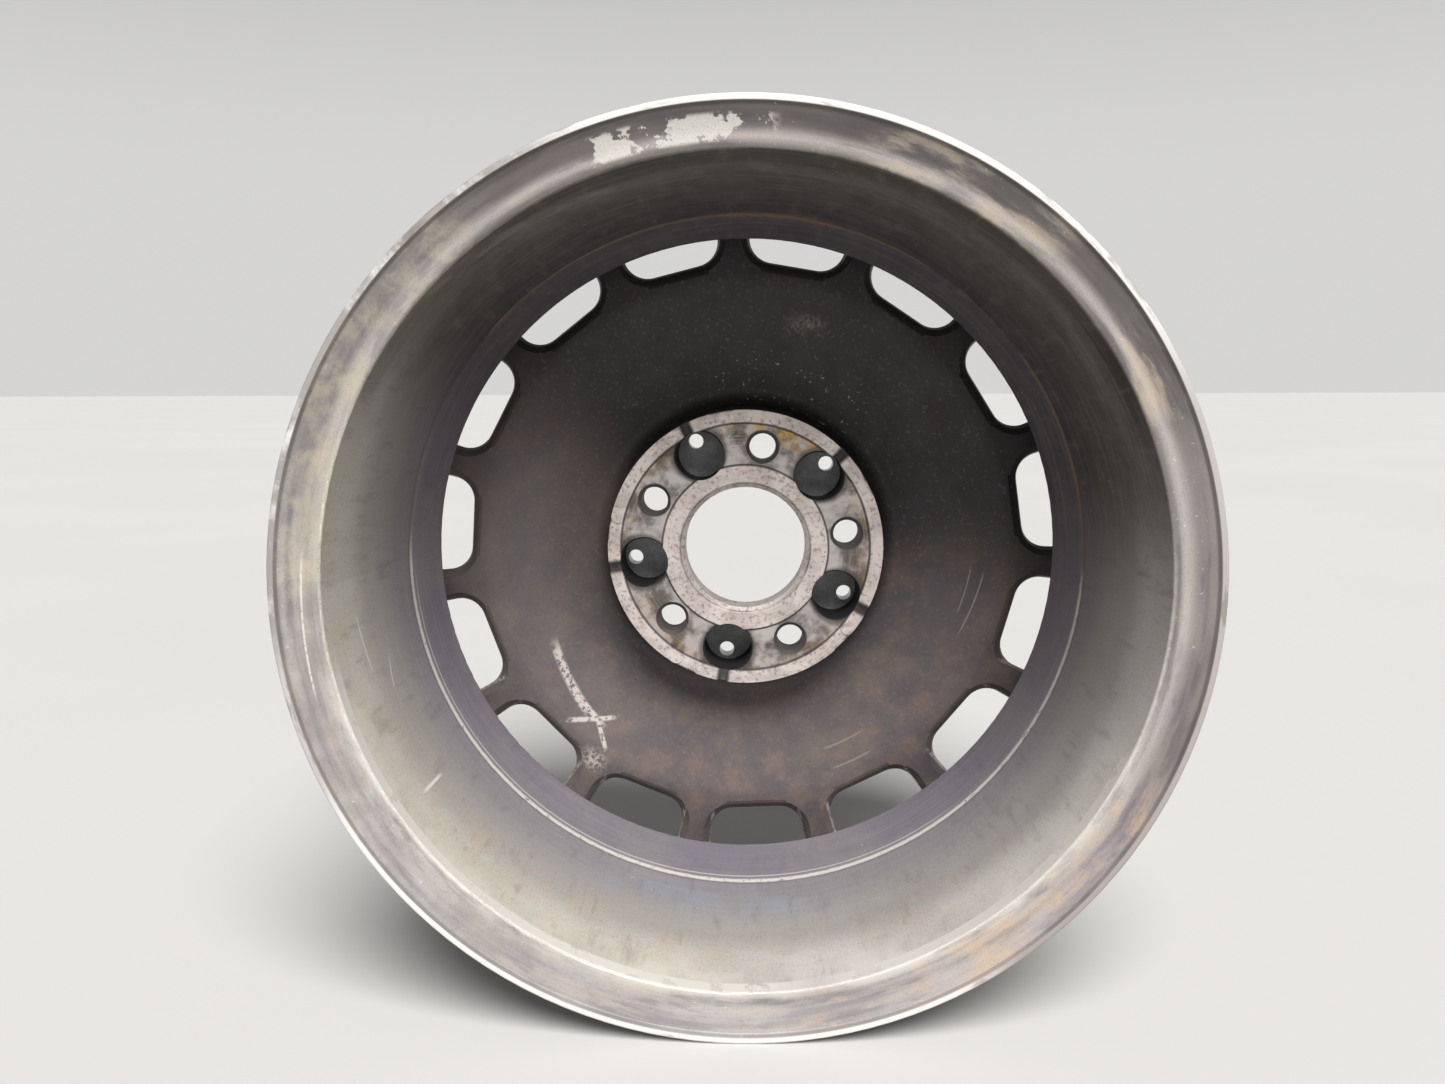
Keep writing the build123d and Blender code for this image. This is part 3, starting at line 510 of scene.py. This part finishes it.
def disc(paint):
    """The disc's back: satin charcoal paint with brake dust, browner below, with painted shade darkening its
    top and the boss's foot, painted light on its left and painted highlights on the web edges.
    """
    colour = paint.blend(paint.mottle.rises(0.38, 0.62), srgb("524a4c"), srgb("5e5350"))
    colour = paint.blend(paint.cloud.rises(0.46, 0.66) * 0.65, colour, srgb("705d52"))
    colour = paint.blend(paint.cloud.falls(0.36, 0.48) * 0.4, colour, srgb("454146"))
    # Painted light: the disc's outer part is lightened on the left.
    left = paint.sector(*DISC_LEFT) * paint.radius.rises(100.0, 125.0)
    colour = paint.blend(left * 0.3, colour, srgb("716a6a"))
    # Darker towards the boss.
    colour = soot_and_shade(paint, colour, paint.radius.falls(88.0, 124.0) * 0.3)
    # Painted shade: the disc is darkened towards the top.
    upper = paint.towards(72.0).rises(0.0, 0.5)
    colour = soot_and_shade(paint, colour, upper * (0.78 + paint.cloud * 0.2))
    window_turn = (paint.turn - FIRST_WINDOW).wrapped(WINDOW_PITCH / 2.0)
    # Painted shadow at the boss's foot on the lower half of the disc, in cloudy patches.
    shadow_under_boss = paint.radius.falls(BOSS_RADIUS + 1.0, BOSS_RADIUS + 10.0) * paint.height.falls(-0.5, 0.2)
    colour = soot_and_shade(paint, colour, shadow_under_boss * paint.cloud.rises(0.3, 0.6) * 0.5)
    colour = paint.blend(paint.dust.rises(0.5, 0.75) * 0.4, colour, srgb("2a2728"))
    colour = paint.blend(paint.speckle.rises(0.56, 0.68) * 0.2, colour, srgb("827a76"))
    scrapes = paint.strokes(paint.radius, DISC_SCRAPES) * paint.speckle.rises(0.38, 0.5)
    patch = paint.spot(angle=235.0, radius=153.0, half_length=11.0, half_width=9.0)
    scrapes = scrapes.larger(patch * paint.speckle.rises(0.45, 0.55) * 0.8)
    arcs = paint.strokes(paint.radius, DISC_ARCS)
    faint_lines = paint.strokes(paint.radius, DISC_FAINT_LINES)
    specks = paint.speckle.rises(0.66, 0.69) * paint.sector(*DISC_SPECKS) * paint.radius.falls(104.0, 114.0)
    smudge = paint.spot(angle=74.0, radius=124.0, half_length=16.0, half_width=11.0)
    smudge = smudge * paint.cloud.rises(0.4, 0.6) * paint.speckle.rises(0.3, 0.6)
    worn = scrapes.larger(specks * 0.7).larger(faint_lines * 0.2).larger(arcs * 0.3).larger(smudge * 0.4)
    colour = paint.blend(worn, colour, srgb("bcb3ac"))
    # Painted highlights: pale lines along the web edges beside the lower windows.
    side = abs(abs(window_turn) - WINDOW_HALF_ANGLE) * paint.radius * math.radians(1.0)
    edge = side.falls(0.5, 1.3) * paint.radius.rises(SPOKE_RADIUS, SPOKE_RADIUS + 3.0)
    edge = edge * paint.height.falls(-0.5, -0.2)
    colour = paint.blend(edge * paint.speckle.rises(0.4, 0.5) * 0.6, colour, srgb("b3aca6"))
    return Finish(colour, 0.42 + paint.cloud * 0.28, 0.0, paint.orange_peel + paint.speckle * 0.03)


def lands(paint):
    """The mounting pad's machined lands: bare alloy, corroded and speckled."""
    colour = paint.blend(paint.cloud.rises(0.36, 0.62), srgb("ab9f99"), srgb("c9beb9"))
    colour = paint.blend(paint.turning.rises(0.4, 0.7) * 0.4, colour, srgb("d0cac6"))
    colour = paint.blend(paint.speckle.rises(0.54, 0.63) * 0.6, colour, srgb("6f625b"))
    rust = paint.ragged.rises(0.56, 0.66)
    colour = paint.blend(rust * 0.4, colour, srgb("95795d"))
    colour = paint.blend(paint.dust.rises(0.6, 0.7) * 0.5, colour, srgb("e2ddd8"))
    return Finish(colour, 0.48 + paint.cloud * 0.2, 0.45, paint.turning * 0.02 - paint.speckle * 0.08)


def annulus(paint):
    """The relieved ring between the lands: glossier, with sooty patches and golden stains by its outer edge.
    """
    colour = paint.blend(paint.cloud.rises(0.42, 0.62), srgb("5f5653"), srgb("b0a9a7"))
    outer = paint.radius.rises(56.0, 66.0)
    colour = paint.blend(outer * paint.cloud.falls(0.4, 0.6) * 0.6, colour, srgb("4a403b"))
    gold = paint.ragged.rises(0.38, 0.6) * outer * (paint.sector(*GOLD_STRETCH) * 0.8 + 0.25)
    colour = paint.blend(gold, colour, srgb("b08a3c"))
    inner = paint.radius.falls(48.0, 56.0) * paint.cloud.rises(0.34, 0.55)
    colour = paint.blend(inner * 0.5, colour, srgb("b9b3ae"))
    colour = paint.blend(paint.turning.rises(0.45, 0.7) * 0.25, colour, srgb("bdb6b1"))
    return Finish(colour, 0.32 + paint.cloud * 0.2, 0.6, paint.turning * 0.015)


def pad(paint, under):
    """The mounting pad over the disc's paint: lands, annulus, grime by the notches, dark lines, holes, and
    painted shade in the pockets.
    """
    raised = paint.depth.falls(LAND_DEPTH + 0.35, LAND_DEPTH + 0.65)
    from_pocket = paint.from_hole(FIRST_POCKET)
    rim_shade = from_pocket.falls(POCKET_RADIUS + 1.0, POCKET_RADIUS + 4.0)
    ring = annulus(paint)
    ring = ring._replace(colour=paint.blend(rim_shade * 0.75, ring.colour, srgb("423d3b")))
    between_lands = paint.radius.rises(LAND_EDGE - 0.4, LAND_EDGE + 0.6)
    machined = paint.cover(ring, lands(paint), raised.larger(between_lands))
    beside_notch = abs((paint.turn - FIRST_POCKET).wrapped(BOLT_PITCH / 2.0)).falls(2.2, 3.4)
    grime = Finish(srgb("37302e"), 0.6, 0.0, ring.relief)
    machined = paint.cover(machined, grime, beside_notch * paint.radius.rises(66.0, 67.0) * 0.85)
    on_pad = paint.radius.falls(PAD_RADIUS, PAD_RADIUS + 0.6)
    on_pad = on_pad * paint.depth.falls(PAD_FLOOR - 0.4, PAD_FLOOR + 0.4)
    finish = paint.cover(under, machined, on_pad)
    groove = abs(paint.radius - LAND_EDGE).falls(0.3, 0.9).larger(
        abs(paint.radius - INNER_LAND_EDGE).falls(0.3, 0.9))
    dirt = Finish(srgb("241f1d"), 0.8, 0.0, finish.relief)
    finish = paint.cover(finish, dirt, groove * on_pad * 0.8)
    bolt_mouth = paint.from_hole(FIRST_BOLT).falls(BOLT_MOUTH_RADIUS, BOLT_MOUTH_RADIUS + 0.4)
    pocket_mouth = from_pocket.falls(POCKET_RADIUS + 0.1, POCKET_RADIUS + 0.6)
    holes = Finish(paint.blend(paint.cloud, srgb("35312f"), srgb("4d4845")), 0.6, 0.0, paint.orange_peel)
    # Painted shade: the pockets are filled near-black.
    shaded_pockets = Finish(paint.blend(paint.cloud, srgb("070707"), srgb("131211")), 0.85, 0.0, paint.orange_peel)
    below_lands = paint.depth.rises(ANNULUS_DEPTH - 0.2, ANNULUS_DEPTH + 0.1)
    below_lands = below_lands * paint.radius.falls(HOLES_REACH - 0.5, HOLES_REACH + 0.5)
    finish = paint.cover(finish, holes, bolt_mouth * below_lands)
    finish = paint.cover(finish, shaded_pockets, pocket_mouth * below_lands)
    bore = paint.radius.falls(BORE_RADIUS, BORE_RADIUS + 0.6) * below_lands
    return paint.cover(finish, lands(paint), bore)


def tyre_side(paint):
    """The side under the tyre: dull alloy with rubber left on the seats."""
    colour = paint.blend(paint.cloud.rises(0.35, 0.65), srgb("75716d"), srgb("8e8a85"))
    colour = paint.blend(paint.depth_lines.rises(0.45, 0.7) * 0.3, colour, srgb("a29e99"))
    seats = paint.radius.rises(186.5, 189.0) * paint.cloud.rises(0.34, 0.5)
    colour = paint.blend(seats * 0.8, colour, srgb("25221f"))
    colour = paint.blend(paint.mottle.rises(0.55, 0.66) * 0.35, colour, srgb("8a7354"))
    return Finish(colour, 0.5 + paint.cloud * 0.2, 0.35, paint.depth_lines * 0.02 + paint.orange_peel)


def front(paint):
    """The front: silver lacquer with fine flake, a little road dirt in its low places, and stone chips."""
    colour = paint.blend(paint.dust.rises(0.3, 0.7), srgb("a3a5a7"), srgb("c4c6c8"))
    colour = paint.blend(paint.mottle.rises(0.4, 0.65) * 0.2, colour, srgb("8f8c88"))
    low_places = paint.depth.falls(177.0, 184.0) * paint.cloud.rises(0.4, 0.62)
    colour = paint.blend(low_places * 0.35, colour, srgb("5d564f"))
    chips = paint.speckle.rises(0.69, 0.71) * paint.mottle.rises(0.5, 0.6)
    colour = paint.blend(chips * 0.8, colour, srgb("4c4843"))
    return Finish(colour, 0.26 + paint.cloud * 0.16, 0.55, paint.orange_peel - chips * 0.05)


def forged_alloy():
    paint = WheelPaint("forged_alloy_painted")
    in_barrel = (paint.radius - (paint.ragged - 0.5) * 2.0).falls(CORNER_RADIUS - 0.2, CORNER_RADIUS + 2.2)
    finish = paint.cover(flange(paint), barrel(paint), in_barrel)
    finish = barrel_edges(paint, finish)
    finish = paint.cover(finish, lip(paint), paint.radius.rises(LIP_INNER - 0.4, LIP_INNER + 0.4))
    rim_line = abs(paint.radius - LIP_INNER + 0.6).falls(0.3, 0.9) * paint.depth.falls(20.0, 22.0)
    finish = paint.cover(finish, Finish(srgb("3f3836"), 0.7, 0.0, finish.relief), rim_line * 0.45)
    behind_throat = paint.depth.rises(THROAT_DEPTH + 1.0, THROAT_DEPTH + 5.0)
    finish = paint.cover(finish, disc(paint), behind_throat)
    finish = pad(paint, finish)
    in_recess = paint.radius.falls(RECESS_RADIUS - 0.3, RECESS_RADIUS + 0.3)
    in_recess = in_recess * paint.depth.rises(RECESS_DEPTH - 0.3, RECESS_DEPTH + 0.3)
    on_front = paint.depth.rises(FRONT_DEPTH - 1.5, FRONT_DEPTH + 1.0).larger(in_recess)
    finish = paint.cover(finish, front(paint), on_front)
    inwards = paint.facing_back * (paint.depth - WHEEL_DEPTH / 2.0)
    on_flange_back = inwards.rises(0.2, 2.0) * paint.radius.rises(SEAT_RADIUS - 0.5, SEAT_RADIUS + 0.5)
    under_tyre = paint.outward.rises(0.15, 0.4) * paint.radius.rises(WELL_RADIUS - 1.0, WELL_RADIUS + 1.0)
    off_lips = paint.depth.within(LIP_ROUND, WHEEL_DEPTH - LIP_ROUND, 0.4)
    finish = paint.cover(finish, tyre_side(paint), on_flange_back.larger(under_tyre) * off_lips)
    return paint.apply(finish)


# ---------------------------------------------------------------- the valve's materials

def metal(name, bright, dull, roughness, lay):
    """A small machined or plated metal piece: tool marks, tarnish in clouds and fine scratches."""
    paint = Paint(name)
    cloud = paint.noise(2.4, detail=4.0)
    stretched = paint.vector(paint.x * lay[0], paint.y * lay[1], paint.z * lay[2])
    marks = paint.noise(0.12, detail=2.0, at=stretched)
    grime = paint.noise(0.7, detail=3.0).rises(0.56, 0.72)
    colour = paint.blend(cloud.rises(0.35, 0.65), srgb(bright), srgb(dull))
    colour = paint.blend(marks.rises(0.4, 0.7) * 0.25, colour, srgb(dull))
    colour = paint.blend(grime * 0.35, colour, srgb("3b342c"))
    return paint.apply(Finish(colour, cloud * 0.2 + (roughness + grime * 0.2), 0.9, marks * 0.01))


def rubber(name, base, bloom):
    """A moulded seal: fine grain, with a dusty bloom in patches."""
    paint = Paint(name)
    grain = paint.noise(0.15, detail=3.0)
    patches = paint.noise(1.8, detail=4.0)
    pores = paint.grains(0.4).falls(0.12, 0.2)
    colour = paint.blend(patches.rises(0.4, 0.65), srgb(base), srgb(bloom))
    colour = paint.blend(grain.rises(0.5, 0.7) * 0.3, colour, srgb("0d0c0b"))
    return paint.apply(Finish(colour, 0.6 + patches * 0.25, 0.0, grain * 0.02 - pores * 0.01))


LOOKS = {
    "forged_alloy": forged_alloy(),
    "plated_brass": metal("plated_brass_nickel", "c9c4ba", "9d968a", 0.24, (1.0, 0.15, 1.0)),
    "core_brass": metal("core_brass_turned", "d0ab62", "9c7a3c", 0.3, (1.0, 0.1, 1.0)),
    "spring_steel": metal("spring_steel_drawn", "a9aaad", "6f6c69", 0.3, (0.4, 1.0, 0.4)),
    "cap_alloy": metal("cap_alloy_anodised", "b6b8bb", "86888c", 0.32, (1.0, 0.2, 1.0)),
    "valve_rubber": rubber("valve_rubber_moulded", "1c1b1a", "2f2d2a"),
    "core_seal": rubber("core_seal_moulded", "5c1e18", "7a3a2e"),
}

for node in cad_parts.values():
    for slot in node.material_slots:
        slot.material = LOOKS[slot.material.name.split(".")[0]]


# ---------------------------------------------------------------- floor and light

FLOOR_REACH = 60.0
CORNER_SIGNS = ((-1, -1), (1, -1), (1, 1), (-1, 1))
corners = [(side * FLOOR_REACH, end * FLOOR_REACH, WHEEL_LOW.z) for side, end in CORNER_SIGNS]
floor_mesh = bpy.data.meshes.new("studio_floor")
floor_mesh.from_pydata(corners, [], [range(len(corners))])
floor = bpy.data.objects.new("studio_floor", floor_mesh)
bpy.context.scene.collection.objects.link(floor)
floor_paint = Paint("studio_floor_matt")
floor_tone = floor_paint.noise(900.0, detail=3.0)
floor_grain = floor_paint.noise(3.0, detail=2.0)
floor_colour = floor_paint.blend(floor_tone, srgb("bdbbb8"), srgb("c4c2c0"))
floor_finish = Finish(floor_colour, 0.75 + floor_grain * 0.1, 0.0, floor_grain * 0.02)
floor_mesh.materials.append(floor_paint.apply(floor_finish))

PALE = srgb("f2f1ef")
HORIZON_STRENGTH = 0.75
OVERHEAD_STRENGTH = 0.1
HORIZON_TOP = 8.0                     # degrees above level where the sky starts to dim
OVERHEAD_FROM = 45.0                  # degrees above level where it stops dimming
world = bpy.data.worlds.new("studio")
bpy.context.scene.world = world
world.use_nodes = True
background = world.node_tree.nodes["Background"]
sky_place = world.node_tree.nodes.new("ShaderNodeTexCoord")
sky_split = world.node_tree.nodes.new("ShaderNodeSeparateXYZ")
sky_ramp = world.node_tree.nodes.new("ShaderNodeMapRange")
world.node_tree.links.new(sky_place.outputs["Generated"], sky_split.inputs[0])
world.node_tree.links.new(sky_split.outputs["Z"], sky_ramp.inputs["Value"])
world.node_tree.links.new(sky_ramp.outputs["Result"], background.inputs["Strength"])
background.inputs["Color"].default_value = (*PALE, 1.0)
sky_ramp.interpolation_type = "SMOOTHSTEP"
sky_ramp.inputs["From Min"].default_value = math.sin(math.radians(HORIZON_TOP))
sky_ramp.inputs["From Max"].default_value = math.sin(math.radians(OVERHEAD_FROM))
sky_ramp.inputs["To Min"].default_value = HORIZON_STRENGTH
sky_ramp.inputs["To Max"].default_value = OVERHEAD_STRENGTH


def soft_sun(name, side, elevation, spread, strength):
    """A wide soft light on the wheel's back, side degrees round from straight behind it."""
    across = -math.sin(math.radians(side)) * math.cos(math.radians(elevation))
    behind = math.cos(math.radians(side)) * math.cos(math.radians(elevation))
    towards_light = Vector((across, behind, math.sin(math.radians(elevation))))
    light = bpy.data.lights.new(name, "SUN")
    light.energy = strength
    light.angle = math.radians(spread)
    lamp = bpy.data.objects.new(name, light)
    bpy.context.scene.collection.objects.link(lamp)
    lamp.rotation_euler = towards_light.to_track_quat("Z", "Y").to_euler()


soft_sun("key", side=12.0, elevation=50.0, spread=35.0, strength=5.5)

# ---------------------------------------------------------------- camera

CAMERA_PLACE = Vector((-0.0042, 0.6182, 0.0867))
CAMERA_TURN = 1.4257                  # degrees from straight along the axis
CAMERA_DIP = 7.118                    # degrees below level
CAMERA_ROLL = -0.177
FOCAL_LENGTH = 30.644                 # for the film width below
FILM_WIDTH = 36.0

lens = bpy.data.cameras.new("camera")
lens.sensor_width = FILM_WIDTH
lens.lens = FOCAL_LENGTH
lens.clip_start = 0.01
camera = bpy.data.objects.new("camera", lens)
bpy.context.scene.collection.objects.link(camera)
turn = Matrix.Rotation(math.radians(180.0 + CAMERA_TURN), 4, "Z")
dip = Matrix.Rotation(math.radians(90.0 - CAMERA_DIP), 4, "X")
roll = Matrix.Rotation(math.radians(CAMERA_ROLL), 4, "Z")
camera.matrix_world = Matrix.Translation(CAMERA_PLACE) @ turn @ dip @ roll
bpy.context.scene.camera = camera
bpy.context.scene.view_settings.view_transform = "Standard"
